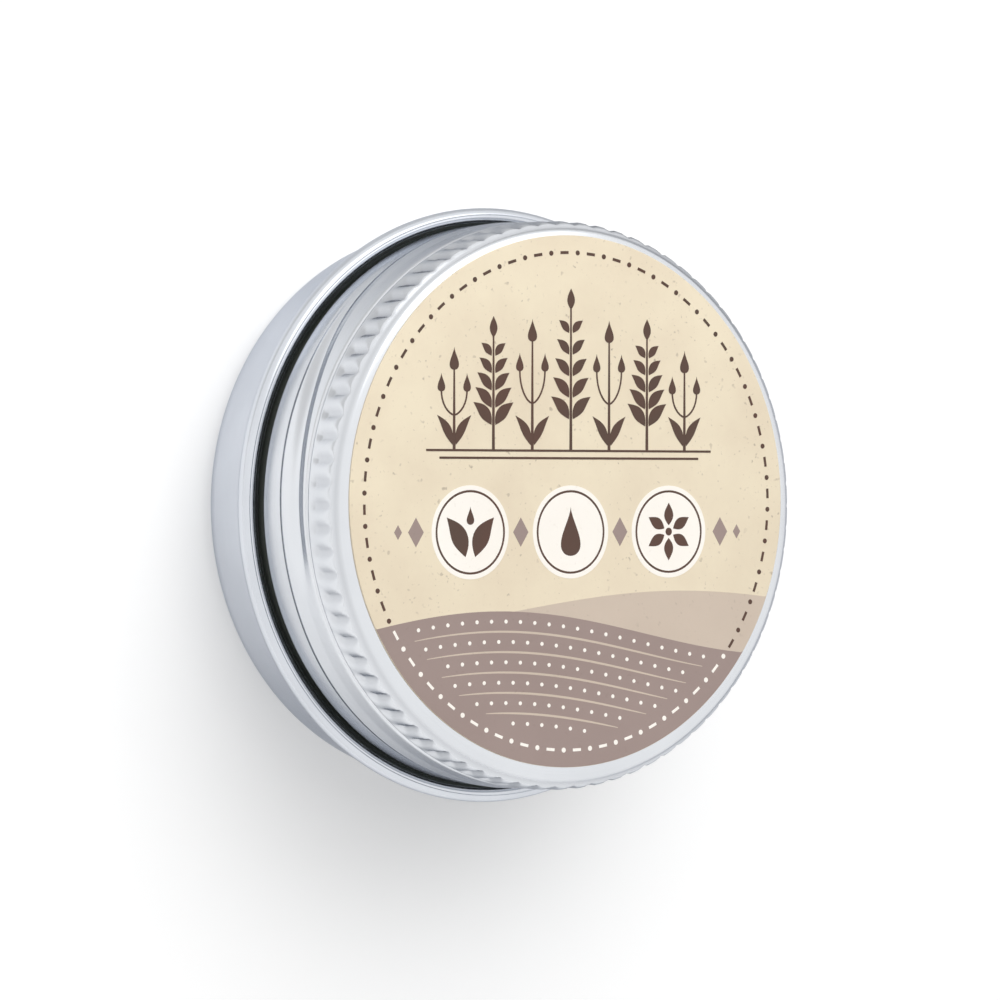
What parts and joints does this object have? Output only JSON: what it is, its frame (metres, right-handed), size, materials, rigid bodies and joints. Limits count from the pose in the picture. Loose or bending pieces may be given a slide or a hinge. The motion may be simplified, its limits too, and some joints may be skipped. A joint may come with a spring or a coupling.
{
  "type": "screw-lid balm tin",
  "caption": "Small round aluminium balm tin: beaded and necked base, knurled screw lid with a foam liner and a paper label, and poured balm inside.",
  "frame": {"origin": "centre of the foot, on the surface that the tin stands on", "axes": "+Z along the tin's axis towards the lid, +Y towards the top of the label, +X to the label's right"},
  "size_m": [0.04, 0.04, 0.0171],
  "materials": {
    "base_aluminium": "satin",
    "lid_aluminium": "satin",
    "liner_foam": "matt closed-cell foam",
    "label_paper": "matt uncoated",
    "balm": "waxy"
  },
  "bodies": {
    "base": {"base_tin": "base_aluminium", "sunscreen_balm": "balm"},
    "liner": {"lid_liner": "liner_foam"},
    "lid": {"lid_shell": "lid_aluminium", "lid_label": "label_paper"}
  },
  "joints": [
    {"name": "lid_rise", "type": "slide", "parent": "base", "child": "liner", "axis": [0, 0, 1], "range_m": [0, 0.0088]},
    {"name": "lid_turn", "type": "hinge", "parent": "liner", "child": "lid", "pos_m": [0, 0, 0.016], "axis": [0, 0, 1], "range_deg": [0, 1260]}
  ],
  "couplings": [
    {"joint": "lid_rise", "follows": "lid_turn", "m_per_rad": 0.00039789}
  ]
}
